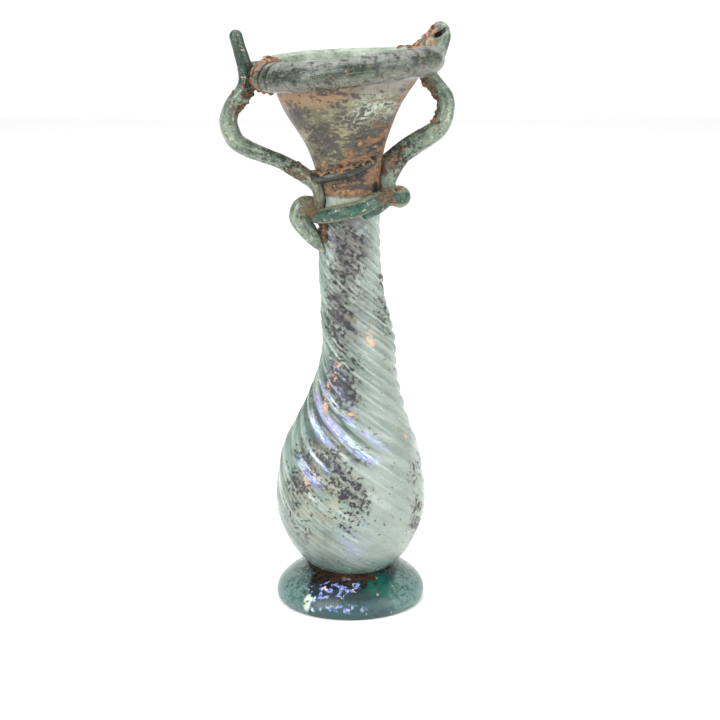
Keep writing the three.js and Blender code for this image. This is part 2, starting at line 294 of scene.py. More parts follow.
def ribbed_ring(radius, z, share, twist):
    """One ring of the outside, with its ribs, whose strength and spacing wander a little."""
    height = float(rib_height_at(z))
    where = np.stack([30 * np.cos(share), 30 * np.sin(share), np.full(share.shape, z)], axis=1)
    wander = 0.09 * swell(where, 40, 3)
    crest = (0.5 + 0.5 * np.cos(RIB_COUNT * (share + wander / 3))) ** 1.4
    strength = 1 + 0.28 * swell(where, 24, 5)
    worn = 0.6 * smoothstep(66, 46, z) * (0.5 + 0.5 * np.cos(share + twist - math.radians(20)))
    worn += 0.5 * smoothstep(62, 78, z) * (0.5 - 0.5 * np.sin(share + twist)) ** 2
    bumps = height * strength * (1 - worn) * (crest - 0.36)
    fade = height / RIB_HEIGHT * (1 - worn)
    return settle(radius + bumps, share + twist, z), 0.5 + (crest - 0.5) * fade


def add_object(name, data):
    thing = bpy.data.objects.new(name, data)
    bpy.context.scene.collection.objects.link(thing)
    return thing


def mesh_object(name, points, faces, unit=MM):
    mesh = bpy.data.meshes.new(name)
    mesh.from_pydata([tuple(p) for p in np.asarray(points) * unit], [], faces)
    mesh.validate()
    mesh.shade_smooth()
    return add_object(name, mesh)


def set_attribute(piece, name, values):
    """Store one number or one vector for each vertex."""
    values = np.asarray(values, float)
    kind, field = ("FLOAT", "value") if values.ndim == 1 else ("FLOAT_VECTOR", "vector")
    piece.data.attributes.new(name, kind, "POINT").data.foreach_set(field, values.ravel())


def skin(rings):
    """Vertices and faces of a closed skin through rings of equal length, with a fan at each end."""
    count, around = rings.shape[:2]
    points = np.concatenate([rings.reshape(-1, 3), [rings[0].mean(axis=0), rings[-1].mean(axis=0)]])
    first = count * around
    faces = []
    for k in range(count - 1):
        low, high = k * around, (k + 1) * around
        for j in range(around):
            following = (j + 1) % around
            faces.append((low + j, low + following, high + following, high + j))
    top = (count - 1) * around
    for j in range(around):
        following = (j + 1) % around
        faces.append((first, following, j))
        faces.append((first + 1, top + j, top + following))
    return points, faces


def row_materials():
    """Which material each band of the skin has: foot, body, funnel, rim or inside."""
    outer = outer_rows()
    bands = np.full(len(outer) + len(inner_rows()) - 1, INSIDE)
    bands[:len(outer)] = np.where(outer[:, 1] < FUNNEL_SOIL_Z, BODY, FUNNEL)
    bands[:len(foot_rows())] = FOOT
    bands[len(outer) - len(roll_rows()):len(outer)] = RIM
    return bands


def blown_bubble():
    rings, upright, crests = bubble_rings()
    count, around = rings.shape[:2]
    flat = rings.reshape(-1, 3)
    axis = np.stack([sway_at(flat[:, 2]), np.zeros(len(flat)), flat[:, 2]], axis=1)
    outward = (flat - axis) / np.maximum(np.linalg.norm(flat - axis, axis=1), 1e-6)[:, None]
    lumps = 0.16 * swell(flat, 16, 11) + 0.05 * swell(flat, 5, 12)
    roll = smoothstep(130, 136, flat[:, 2])
    lumps += roll * (0.14 * swell(flat, 6, 13) + 0.06 * swell(flat, 2.2, 14))
    lumps *= smoothstep(0.2, 4, flat[:, 2])
    around_deg = np.degrees(np.arctan2(flat[:, 1], flat[:, 0])) % 360
    for degrees, depth in CREVICES:
        lumps -= roll * depth * np.exp(-((around_deg - degrees) / CREVICE_WIDTH_DEG) ** 2)
    flat = flat + outward * lumps[:, None]
    flask = mesh_object("blown_flask", *skin(flat.reshape(count, around, 3)))
    ends = [upright[0].mean(axis=0), upright[-1].mean(axis=0)]
    set_attribute(flask, "upright", np.concatenate([upright.reshape(-1, 3), ends]))
    set_attribute(flask, "crest", np.concatenate([crests.ravel(), [0.5, 0.5]]))
    indices = np.concatenate([np.repeat(row_materials(), around), np.tile([FOOT, INSIDE], around)])
    flask.data.polygons.foreach_set("material_index", indices)
    return flask


def wall_radius_at(z):
    rows = spaced(WALL_POINTS, ROW_STEP)
    return float(np.interp(z, rows[:, 1], rows[:, 0]))


def on_wall(degrees, z, thickness, out=0.0):
    """A stop of a rod on the wall, angles from the right, anticlockwise from above: 270 is the front."""
    radius = wall_radius_at(z) + thickness / 2 - TRAIL_SINK + out
    return (*settle(radius, math.radians(degrees), z), thickness)


def on_rim(degrees, out, up, thickness):
    return (*settle(ROLL_CENTRE_RADIUS + out, math.radians(degrees), ROLL_Z + up), thickness)


def arm(side, foot_z, reach, shares):
    """Stops of a handle's arm, as shares of the way out to its reach and up to the rim."""
    root = wall_radius_at(foot_z)
    return [(side * (root + (reach - root) * out), 0.0, foot_z + (ROLL_Z - foot_z) * up, thickness)
            for out, up, thickness in shares]


def rod_mesh(name, stops):
    """A rod of glass with round ends through its stops (x, y, z, thickness)."""
    rows = spaced(stops, ROD_STEP)
    centre, radius = rows[:, :3], rows[:, 3] / 2
    tangent = np.gradient(centre, axis=0)
    tangent /= np.linalg.norm(tangent, axis=1)[:, None]
    side = np.cross(tangent[0], (0.0, 1.0, 0.13))
    rings = []
    angle = 2 * math.pi * np.arange(ROD_SIDES) / ROD_SIDES
    last = len(rows) - 1
    for k in range(len(rows)):
        side = side - tangent[k] * np.dot(side, tangent[k])
        side /= np.linalg.norm(side)
        up = np.cross(tangent[k], side)
        slices = [-0.98, -0.85, -0.6, -0.3, 0.0] if k == 0 else [0.0]
        if k == last:
            slices = [0.0, 0.3, 0.6, 0.85, 0.98]
        for cut in slices:
            at = centre[k] + tangent[k] * cut * radius[k]
            around = radius[k] * math.sqrt(1 - cut * cut)
            rings.append(at + around * (np.outer(np.cos(angle), side) + np.outer(np.sin(angle), up)))
    return mesh_object(name, *skin(np.array(rings)))


def left_handle():
    d = HANDLE_ROD
    return [
        on_wall(206, 103.6, d - 1.4),
        on_wall(210, 107, d - 1.3),
        on_wall(194, LEFT_FOOT_Z, d - 0.6, 0.2),
        *arm(-1, LEFT_FOOT_Z, LEFT_REACH, [
            (0.38, 0.14, d - 0.4),
            (0.57, 0.2, d - 0.2),
            (0.78, 0.265, d),
            (0.93, 0.34, d + 0.2),
            (1, 0.46, d + 0.2),
            (1, 0.56, d),
            (0.93, 0.68, d),
        ]),
        on_rim(180, 5.1, -4.2, d + 0.4),
        on_rim(180, 4.7, -1.4, d),
        on_rim(180, 5.2, 1.9, d - 0.5),
        on_rim(180, 6.3, 6, THUMB_ROD),
        on_rim(180, 7.3, 9.8, THUMB_ROD),
    ]


def left_web():
    """Glass between the left thumb-rest and the end of the rolled rim."""
    d = THUMB_ROD
    return [on_rim(179, 4.6, 1.4, d), on_rim(175, 3.4, 1.4, d), on_rim(168, 2.0, 1.2, d)]


def right_handle():
    d = HANDLE_ROD
    return [
        on_wall(350, 107.5, d - 0.5),
        on_wall(355, RIGHT_FOOT_Z, d + 0.8, -0.5),
        *arm(1, RIGHT_FOOT_Z, RIGHT_REACH, [
            (0.3, 0.17, d + 0.3),
            (0.5, 0.265, d + 0.5),
            (0.75, 0.37, d + 0.7),
            (0.93, 0.46, d + 0.2),
            (1, 0.58, d),
            (1, 0.71, d),
        ]),
        on_rim(3, 2.4, -6, d),
        on_rim(5, 0, -3.4, d),
    ]


def right_strand():
    d = HANDLE_ROD - 1.2
    return [
        on_wall(354, RIGHT_FOOT_Z + 3.8, d + 0.6, -0.3),
        *arm(1, RIGHT_FOOT_Z, RIGHT_REACH, [(0.33, 0.27, d), (0.57, 0.36, d), (0.76, 0.42, d)]),
    ]


def right_thumb():
    d = THUMB_ROD
    return [
        on_rim(8, 1.6, -0.9, d + 0.4),
        on_rim(12, 3.4, 2.6, d),
        on_rim(15, 4.7, 5.8, d - 0.3),
        on_rim(18, 4.2, 7.8, d - 0.2),
        on_rim(21, 3, 6.6, d - 0.2),
        on_rim(26, 2, 4.5, d),
        on_rim(34, 0.8, 2.4, d + 0.4),
        on_rim(45, -0.6, 1, d),
    ]


def right_web():
    """Glass between the two legs of the right thumb-rest, up to the slit near its tip."""
    d = THUMB_ROD
    return [
        on_rim(24, 0.6, 0.5, d + 0.6),
        on_rim(21, 2.0, 3.2, d + 0.3),
        on_rim(18, 3.7, 4.6, d - 0.4),
    ]


def upper_trail():
    d = UPPER_TRAIL_ROD
    return [
        on_wall(188, 111.4, d + 0.5, -0.2),
        on_wall(225, 111.9, d + 0.2, -0.4),
        on_wall(262, 113.2, d, -0.4),
        on_wall(292, 114.6, d - 0.4, -0.3),
        on_wall(316, 116, d - 1, -0.2),
    ]


def lower_trail():
    d = LOWER_TRAIL_ROD
    return [
        on_wall(200, 102.2, d - 0.4),
        on_wall(218, 102, d),
        on_wall(248, 103.3, d),
        on_wall(283, 104.6, d),
        on_wall(318, 106.4, d - 0.4),
        on_wall(338, 106.8, d),
        on_wall(352, 106.3, KNOB_SIZE, 2.4),
        on_wall(8, 106, KNOB_SIZE - 0.6, 1.8),
        on_wall(40, 104.6, d),
        on_wall(80, 104, d),
        on_wall(120, 103.6, d),
        on_wall(155, 104, d),
        on_wall(185, 104.4, d, 0.8),
    ]


def lower_strand():
    d = LOWER_TRAIL_ROD
    return [
        on_wall(303, 102.4, d - 2.2, -0.2),
        on_wall(322, 103.4, d - 1.4),
        on_wall(342, 104.6, d - 1, 0.3),
    ]


def left_loop():
    d = LOOP_ROD
    return [
        on_wall(195, 104.5, d - 0.6, 0.4),
        on_wall(190, 104.1, d, 2.2),
        on_wall(190, 101.5, d, 3.2),
        on_wall(192, 99, d - 0.1, 1.8),
        on_wall(196, 96.8, d - 0.6, 0.5),
        on_wall(205, 94.8, d - 1.8),
        on_wall(214, 93.2, d - 3.2, -0.3),
    ]


def melt(piece, voxel, rounds=0):
    """Fuse the shells of a piece into one skin, and smooth it so many times."""
    remesh = piece.modifiers.new("melt", "REMESH")
    remesh.mode = "VOXEL"
    remesh.voxel_size = voxel * MM
    if rounds:
        smooth = piece.modifiers.new("soften", "SMOOTH")
        smooth.factor = 0.5
        smooth.iterations = rounds
    done = bpy.data.meshes.new_from_object(piece.evaluated_get(bpy.context.evaluated_depsgraph_get()))
    piece.modifiers.clear()
    piece.data = done


def push_out(piece, points, distances):
    """Move each vertex from its point along its normal."""
    normals = np.empty(len(points) * 3)
    piece.data.vertices.foreach_get("normal", normals)
    moved = points + normals.reshape(-1, 3) * distances[:, None]
    piece.data.vertices.foreach_set("co", (moved * MM).ravel())
    piece.data.update()
    piece.data.shade_smooth()


def joined(name, pieces):
    """One object from several, whose shells may overlap."""
    whole = bmesh.new()
    for piece in pieces:
        whole.from_mesh(piece.data)
        bpy.data.objects.remove(piece)
    mesh = bpy.data.meshes.new(name)
    whole.to_mesh(mesh)
    whole.free()
    return add_object(name, mesh)


# Each rod's route and how dark its glass is, from pale aqua to nearly black green.
ROUTES = [
    (left_handle, 0.0),
    (left_web, 0.35),
    (right_handle, 0.05),
    (right_strand, 0.1),
    (right_thumb, 0.1),
    (right_web, 0.3),
    (upper_trail, 1.0),
    (lower_trail, 0.75),
    (lower_strand, 0.7),
    (left_loop, 0.15),
]


def note_routes(rods):
    """For each vertex, how dark its rod is, and its place along and about that rod."""
    centres, darkness, along = [], [], []
    for route, dark in ROUTES:
        rows = spaced(route(), ROD_STEP)
        centres.append(rows)
        darkness.append(np.full(len(rows), dark))
        along.append(ROD_STEP * np.arange(len(rows)) + ROUTE_GAP * len(along))
    centres, darkness, along = (np.concatenate(v) for v in (centres, darkness, along))
    points = positions(rods)
    nearest = np.empty(len(points), int)
    for start in range(0, len(points), NEAREST_BLOCK):
        block = points[start:start + NEAREST_BLOCK]
        gap = np.linalg.norm(block[:, None] - centres[None, :, :3], axis=2) - centres[None, :, 3] / 2
        nearest[start:start + NEAREST_BLOCK] = gap.argmin(axis=1)
    set_attribute(rods, "darkness", darkness[nearest])
    set_attribute(rods, "about", points - centres[nearest, :3])
    set_attribute(rods, "along", along[nearest])


def positions(piece):
    flat = np.empty(len(piece.data.vertices) * 3)
    piece.data.vertices.foreach_get("co", flat)
    return flat.reshape(-1, 3) / MM


def slit_at(points):
    """How near each point is to the slit in the front of the right thumb-rest's loop, from 0 to 1."""
    start, end = np.array(SLIT[0]), np.array(SLIT[1])
    flat = points[:, [0, 2]]
    share = np.clip((flat - start) @ (end - start) / np.dot(end - start, end - start), 0, 1)
    gap = np.linalg.norm(flat - start - share[:, None] * (end - start), axis=1)
    return smoothstep(SLIT_WIDTH, 0.2 * SLIT_WIDTH, gap) * (points[:, 1] < SLIT_BACK)


def melted_rods():
    """Handles, thumb-rests and trails, melted into each other where they touch."""
    rods = joined("handles_and_trails", [rod_mesh(route.__name__, route()) for route, _ in ROUTES])
    melt(rods, ROD_VOXEL, 4)
    points = positions(rods)
    lumps = 0.06 * swell(points, 6, 21) + 0.02 * swell(points, 2, 22)
    push_out(rods, points, lumps - SLIT_DEPTH * slit_at(points))
    note_routes(rods)
    set_attribute(rods, "slit", slit_at(points))
    return rods


def lumps_on(places, sizes, seed):
    """Points and faces of stretched balls at the places, to be melted together."""
    rng = np.random.default_rng(seed)
    ball = bmesh.new()
    bmesh.ops.create_icosphere(ball, subdivisions=2, radius=1.0)
    unit = np.array([v.co[:] for v in ball.verts])
    faces = np.array([[v.index for v in f.verts] for f in ball.faces])
    ball.free()
    points, triangles = [], []
    for k, (place, size) in enumerate(zip(places, sizes)):
        stretch = rng.uniform(0.7, 1.3, 3)
        points.append(place + unit * size * stretch)
        triangles.append(faces + k * len(unit))
    return np.concatenate(points), np.concatenate(triangles).tolist()


def crust(name, places, sizes, seed):
    """A piece of caked soil: lumps melted together and roughened."""
    piece = mesh_object(name, *lumps_on(places, sizes, seed))
    melt(piece, SOIL_VOXEL)
    points = positions(piece)
    bumps = SOIL_ROUGHNESS * (0.7 * swell(points, 1.5, seed + 1) + 0.5 * swell(points, 0.7, seed + 2))
    push_out(piece, points, bumps)
    return piece


def scattered(rng, count, low, high):
    return rng.uniform(low, high, (count, len(low)))


def wall_patch(rng, count, degrees, heights, out=0.0):
    """Places scattered on the outer wall between two angles and two heights."""
    pick = scattered(rng, count, (degrees[0], heights[0]), (degrees[1], heights[1]))
    return np.array([settle(wall_radius_at(z) + out, math.radians(a), z) for a, z in pick])


def rim_patch(rng, count, degrees, section):
    """Places scattered on the roll between two angles about the flask and two round its section."""
    pick = scattered(rng, count, (degrees[0], section[0]), (degrees[1], section[1]))
    half = ROLL_THICKNESS / 2
    return np.array([settle(ROLL_CENTRE_RADIUS + half * math.cos(math.radians(s)), math.radians(a),
                            ROLL_Z + half * math.sin(math.radians(s))) for a, s in pick])


def rod_patch(rng, count, route, stretch, facing, sink=0.25):
    """Places on a rod's surface, between two shares of its length, about the side facing that way."""
    rows = spaced(route(), ROD_STEP)
    picks = rng.uniform(stretch[0], stretch[1], count) * (len(rows) - 1)
    places = []
    for pick in picks.astype(int):
        along = rows[min(pick + 1, len(rows) - 1), :3] - rows[max(pick - 1, 0), :3]
        along /= np.linalg.norm(along)
        side = np.array(facing, float) + rng.normal(0, 0.45, 3)
        side -= along * np.dot(side, along)
        side /= np.linalg.norm(side)
        places.append(rows[pick, :3] + side * (rows[pick, 3] / 2 - sink))
    return np.array(places)


def soil_pieces():
    rng = np.random.default_rng(SOIL_SEED)
    rim, wall, rod = (partial(patch, rng) for patch in (rim_patch, wall_patch, rod_patch))
    foot_places = []
    for degrees in rng.uniform(222, 300, 150):
        spread = rng.uniform(0, 1)
        radius = JOIN_RADIUS + 0.2 + 5.0 * spread ** 1.6
        foot_places.append(settle(radius, math.radians(degrees), dome_height_at(radius) - 0.25))
    ring_places = [settle(JOIN_RADIUS + 0.3, math.radians(a), JOIN_Z - 0.1) for a in np.linspace(0, 360, 150)]
    left_inner = rod(60, left_handle, (0.66, 0.82), (1, -0.3, 0.2))
    left_arm = rod(30, left_handle, (0.16, 0.3), (0.2, -0.4, 1), 0.4)
    right_inner = rod(90, right_handle, (0.6, 0.98), (-1, -0.2, -0.2))
    right_arm = rod(70, right_handle, (0.14, 0.42), (-0.3, -0.5, 1), 0.4)
    crown = rod(60, right_thumb, (0.45, 1.0), (-1, -0.5, 0.4))
    knob = rod(24, lower_trail, (0.40, 0.47), (-0.6, -0.6, 1), 0.3)
    sites = {
        "soil_rim_left": ([rim(120, (168, 205), (75, 150)), rim(36, (188, 192.5), (-70, 80)),
                           rim(60, (180, 206), (215, 290)), left_inner, left_arm], (0.3, 0.6)),
        "soil_under_rim": ([rim(130, (200, 262), (222, 238)), rim(50, (300, 352), (224, 238))], (0.25, 0.5)),
        "soil_rim_right": ([rim(80, (18, 50), (62, 118)), rim(36, (350, 370), (190, 300)),
                            right_inner, right_arm, crown], (0.3, 0.6)),
        "soil_collar": ([rod(90, upper_trail, (0.0, 1.0), (0, -0.2, 1), 0.2),
                         wall(150, (192, 352), (108.4, 112.4), -0.25),
                         wall(110, (216, 330), (113.4, 116.4), -0.3),
                         wall(110, (290, 352), (112, 122), -0.3)], (0.3, 0.6)),
        "soil_loop": ([wall(90, (188, 226), (95.5, 102.4), 0.1), wall(40, (188, 206), (101.5, 106), 0.9),
                       wall(40, (340, 362), (105, 110.5), 0.2), knob], (0.3, 0.6)),
        "soil_foot": ([foot_places, ring_places], (0.35, 0.7)),
    }
    pieces = []
    for seed, (name, (places, sizes)) in enumerate(sites.items()):
        places = np.concatenate(places)
        pieces.append(crust(name, places, rng.uniform(*sizes, len(places)), 60 + 3 * seed))
    return pieces


def linear(red, green, blue):
    """A screen colour, 0 to 255, as the linear colour that a shader takes."""
    shares = [v / 255 for v in (red, green, blue)]
    return tuple(v / 12.92 if v <= 0.04045 else ((v + 0.055) / 1.055) ** 2.4 for v in shares) + (1.0,)


class Ink:
    """A material and short calls that add nodes to it.

    Places and sizes are in millimetres. A paint is a socket or a screen colour, 0 to 255. The colour
    is what has been painted so far.
    """

    def __init__(self, name, transmission, specular=0.5):
        self.material = bpy.data.materials.new(name)
        self.material.use_nodes = True
        self.tree = self.material.node_tree
        self.shader = self.tree.nodes["Principled BSDF"]
        self.shader.inputs["Transmission Weight"].default_value = transmission
        self.shader.inputs["IOR"].default_value = GLASS_IOR
        self.shader.inputs["Specular IOR Level"].default_value = specular
        self.place = self.vector("MULTIPLY", self.node("TexCoord", {}, "Object"), (1000, 1000, 1000))
        self.x, self.y, self.z = self.node("SeparateXYZ", {0: self.place}).node.outputs
        self.colour = None

    def put(self, socket, value):
        if isinstance(value, bpy.types.NodeSocket):
            self.tree.links.new(value, socket)
        else:
            socket.default_value = value

    def node(self, kind, inputs, output=0, **settings):
        """One output of a new node, whose inputs are linked or set."""
        node = self.tree.nodes.new("ShaderNode" + kind)
        for name, value in settings.items():
            setattr(node, name, value)
        for socket, value in inputs.items():
            self.put(node.inputs[socket], value)
        return node.outputs[output]

    def vector(self, operation, first, second=(0, 0, 0)):
        output = "Value" if operation == "LENGTH" else "Vector"
        return self.node("VectorMath", {0: first, 1: second}, output, operation=operation)

    def math(self, operation, first, *others):
        for other in others:
            first = self.node("Math", {0: first, 1: other}, operation=operation)
        return first

    def times(self, *factors):
        return self.math("MULTIPLY", *factors)

    def plus(self, *terms):
        return self.math("ADD", *terms)

    def minus(self, first, second):
        return self.math("SUBTRACT", first, second)

    def any_of(self, *masks):
        return self.math("MAXIMUM", *masks)

    def absolute(self, value):
        return self.math("ABSOLUTE", value, 0.0)

    def attribute(self, name, output="Fac"):
        return self.node("Attribute", {}, output, attribute_name=name)

    def part(self, vector, axis):
        return self.node("SeparateXYZ", {0: vector}, axis)

    def up(self):
        """How far the surface faces up, from -1 to 1."""
        return self.part(self.node("NewGeometry", {}, "Normal"), "Z")

    def noise(self, size, detail=3.0, roughness=0.6, distortion=0.0, where=None, offset=(0, 0, 0)):
        """Clouds about as large as size, from 0 to 1."""
        moved = self.vector("ADD", self.place if where is None else where, offset)
        return self.node("TexNoise", {"Vector": moved, "Scale": 1.0 / size, "Detail": detail,
                                      "Roughness": roughness, "Distortion": distortion}, "Fac")

    def step(self, value, low, high):
        """From 0 at low to 1 at high, smoothly. Low may be the greater."""
        at_low, at_high = (0.0, 1.0) if low < high else (1.0, 0.0)
        return self.node("MapRange", {"Value": value, "From Min": min(low, high), "From Max": max(low, high),
                                      "To Min": at_low, "To Max": at_high}, "Result",
                         interpolation_type="SMOOTHSTEP")

    def near(self, centre, radii, core=0.35):
        """1 in the middle of an ellipsoid, out to its core's share of it, and 0 outside it."""
        scaled = self.vector("DIVIDE", self.vector("SUBTRACT", self.place, centre), radii)
        return self.step(self.vector("LENGTH", scaled), 1.0, core)

    def zones(self, *ellipsoids):
        return self.any_of(*(self.near(*ellipsoid) for ellipsoid in ellipsoids))

    def mix(self, share, first, second):
        first, second = (v if isinstance(v, bpy.types.NodeSocket) else linear(*v) for v in (first, second))
        return self.node("Mix", {0: share, 6: first, 7: second}, 2, data_type="RGBA")

    def blend(self, share, first, second):
        return self.node("Mix", {0: share, 2: first, 3: second}, data_type="FLOAT")

    def coat(self, paint, *masks):
        """Paint over the colour so far, as thickly as the product of the masks."""
        self.colour = self.mix(self.times(*masks), self.colour, paint)

    def ramp(self, value, stops):
        output = self.node("ValToRGB", {"Fac": value}, "Color")
        ramp = output.node.color_ramp
        while len(ramp.elements) < len(stops):
            ramp.elements.new(0.5)
        for element, (position, paint) in zip(ramp.elements, stops):
            element.position = position
            element.color = linear(*paint)
        return output

    def finish(self, roughness, height, depth):
        """Depth is how deep the relief is, in millimetres, for a height of 0 to 1."""
        bump = self.node("Bump", {"Strength": 1.0, "Distance": depth * MM, "Height": height}, "Normal")
        for socket, value in (("Base Color", self.colour), ("Roughness", roughness), ("Normal", bump)):
            self.put(self.shader.inputs[socket], value)
        return self.material


# Screen colours, 0 to 255.
SALMON = (232, 200, 174)
DARK_EARTH = (58, 44, 32)
CREAM = (214, 200, 168)
AQUA = (146, 170, 160)
OLIVE = (150, 148, 92)
# Near-black of the painted shade in the hollow by the right handle's foot.
HOLLOW_SHADE = (18, 14, 11)


def shaded_hollow(ink):
    """Painted shade: the black hollow between the right handle's foot and the neck trail."""
    return ink.near((7.2, -5.4, 109.4), (2.1, 2.6, 1.9), 0.6)


def body_glass():
    ink = Ink("weathered_glass", 0.38)
    upright = ink.attribute("upright", "Vector")
    crest = ink.attribute("crest")
    drawn = ink.vector("MULTIPLY", upright, (1, 1, 0.09))
    front = ink.step(ink.y, 4, -4)

    # Painted shade: the body is painted darker on the left and lighter on the right, as the light falls.
    ink.colour = ink.mix(ink.step(ink.x, -14, 12), (104, 118, 112), (160, 173, 163))
    ink.coat(ink.mix(ink.step(ink.x, -10, 10), AQUA, (148, 162, 155)),
             ink.step(ink.noise(14, 4), 0.4, 0.62))
    ink.coat((184, 202, 194), ink.step(ink.z, 62, 78), 0.35)
    ink.coat((88, 124, 122), ink.step(ink.z, 17, 9.5), 0.6)
    smooth_side = ink.times(ink.step(ink.x, -3, 6), ink.step(ink.z, 74, 60))
    calm_neck = ink.times(ink.step(ink.z, 64, 80), ink.step(ink.y, -2, -6))
    calm = ink.any_of(ink.times(smooth_side, front), ink.times(calm_neck, 0.7))
    calm = ink.any_of(calm, ink.times(ink.step(ink.z, 30, 16), 0.8))
    drawn_share = ink.blend(calm, 1.0, 0.3)
    streaks = ink.noise(1.3, 5, 0.7, where=drawn)
    ink.coat((204, 214, 202), drawn_share, ink.times(ink.step(streaks, 0.5, 0.64), 0.6))
    ink.coat((70, 96, 88), drawn_share, ink.times(ink.step(streaks, 0.47, 0.36), 0.7))
    # Painted shade: the grooves between the ribs are painted darker.
    shaded_groove = ink.step(crest, 0.3, 0.04)
    ink.coat((76, 104, 96), shaded_groove, ink.times(drawn_share, 0.5))
    # Painted highlight: the rib crests are painted paler.
    ridge_highlight = ink.step(crest, 0.75, 1.0)
    ink.coat((206, 216, 206), ridge_highlight, ink.times(drawn_share, 0.35))
    brown = ink.times(smooth_side, ink.step(ink.noise(1.5, 6, 0.8, offset=(8, 8, 1)), 0.53, 0.66))
    ink.coat((132, 122, 96), brown, 0.3)

    lilac_zone = ink.zones(((0, -7, 97), (8, 9, 15), 0.4), ((-0.5, -8, 82), (8, 8, 19), 0.3))
    lilac = ink.times(lilac_zone, ink.step(ink.noise(5, 5, 0.7), 0.34, 0.55))
    ink.coat(ink.mix(ink.step(streaks, 0.42, 0.6), (82, 78, 75), (126, 120, 115)), lilac, 0.9)
    violet_line = ink.noise(1.0, 3, 0.6, where=drawn, offset=(7, 3, 0))
    violet = ink.times(lilac_zone, ink.step(violet_line, 0.55, 0.63))
    ink.coat((122, 122, 160), violet, 0.7)
    olive_zone = ink.zones(((0, -8, 76), (5, 6, 9)), ((0, -14, 48), (6, 8, 7)), ((-5, -17, 33), (9, 9, 9)))
    olive = ink.times(olive_zone, ink.step(ink.noise(3.2, 5, 0.7, offset=(0, 9, 4)), 0.48, 0.6))
    ink.coat(OLIVE, olive, 0.5)

    band = ink.zones(((-1, -8, 92), (8, 8, 13), 0.0), ((-3, -7, 76), (7, 8, 18), 0.0),
                     ((-2, -10, 60), (8, 9, 15), 0.1), ((-3, -15, 36), (12, 9, 16), 0.0),
                     ((0, -18, 33), (7, 7, 13), 0.2), ((-12, -12, 34), (9, 10, 20), 0.0),
                     ((8, -1, 78), (5, 8, 14), 0.1), ((16, -6, 30), (5, 9, 16), 0.0),
                     ((2, 16, 38), (13, 12, 24), 0.1), ((0, 9, 80), (8, 9, 22), 0.1))
    clumps = ink.noise(4, 6, 0.7, where=ink.vector("MULTIPLY", upright, (1, 1, 0.6)))
    grains = ink.noise(1.8, 5, 0.72, offset=(3, 8, 2))
    worn_zone = ink.any_of(band, ink.times(ink.near((-8, -14, 36), (15, 13, 24), 0.3), 0.7))
    cream_zone = ink.near((-7, -15, 33), (14, 12, 20), 0.3)
    cream = ink.times(cream_zone, ink.step(ink.noise(3.4, 5, 0.7, offset=(7, 2, 1)), 0.44, 0.56))
    ink.coat((172, 168, 144), cream, 0.5)
    veil = ink.plus(clumps, ink.times(worn_zone, 0.12))
    veil = ink.times(ink.step(veil, 0.48, 0.66), ink.step(worn_zone, 0.0, 0.5))
    ink.coat(ink.mix(ink.step(grains, 0.4, 0.6), (98, 96, 98), (138, 134, 118)), veil, 0.5)
    specks = ink.noise(0.95, 3, 0.65, offset=(6, 1, 4))
    spread = ink.plus(ink.times(clumps, 0.5), ink.times(specks, 0.6))
    dark = ink.step(ink.plus(spread, ink.times(band, 0.1)), 0.618, 0.65)
    dark = ink.times(dark, ink.step(band, 0.0, 0.3))
    tone = ink.mix(ink.step(specks, 0.46, 0.6), (56, 52, 64), (12, 11, 15))
    ink.coat(tone, dark, 0.94)

    # Iridescent film on the front of the body, painted as bright white, blue and violet highlights broken
    # along the rib crests: part real film colour, part painted highlight.
    sheen_zone = ink.any_of(ink.near((-5, -12, 50), (9, 9, 9), 0.5), ink.near((3, -15, 44), (8, 8, 7), 0.4),
                            ink.near((-6, -9, 59), (6, 6, 8), 0.5), ink.near((-8, -14, 40), (8, 8, 7), 0.4),
                            ink.times(ink.near((1, -18, 21), (7, 7, 8), 0.0), 0.45))
    sheen_line = ink.noise(1.5, 3, 0.55, where=ink.vector("MULTIPLY", upright, (1, 1, 0.13)),
                           offset=(0, 0, 5))
    sheen = ink.times(sheen_zone, ink.step(sheen_line, 0.45, 0.54))
    broken = ink.noise(1.3, 5, 0.75, where=ink.vector("MULTIPLY", upright, (1, 1, 0.5)), offset=(1, 1, 2))
    sheen = ink.times(sheen, ink.step(broken, 0.4, 0.5))
    sheen = ink.times(sheen, ink.blend(ink.step(ink.z, 30, 36), 1.0, ink.step(crest, 0.2, 0.5)))
    hue = ink.noise(2.6, 4, 0.65, where=ink.vector("MULTIPLY", upright, (1, 1, 0.4)), offset=(4, 1, 7))
    film = ink.ramp(hue,
                    [(0.36, (96, 196, 236)), (0.42, (248, 252, 252)), (0.47, (206, 232, 244)),
                     (0.5, (96, 112, 226)), (0.54, (196, 206, 246)), (0.59, (150, 112, 206)),
                     (0.65, (248, 250, 252))])
    # Painted shade: the grooves between the highlighted crests are painted dark grey.
    gap = ink.times(sheen_zone, shaded_groove, ink.step(ink.z, 32, 38))
    ink.coat((64, 68, 80), gap, 0.6)
    ink.coat(film, sheen, 0.95)

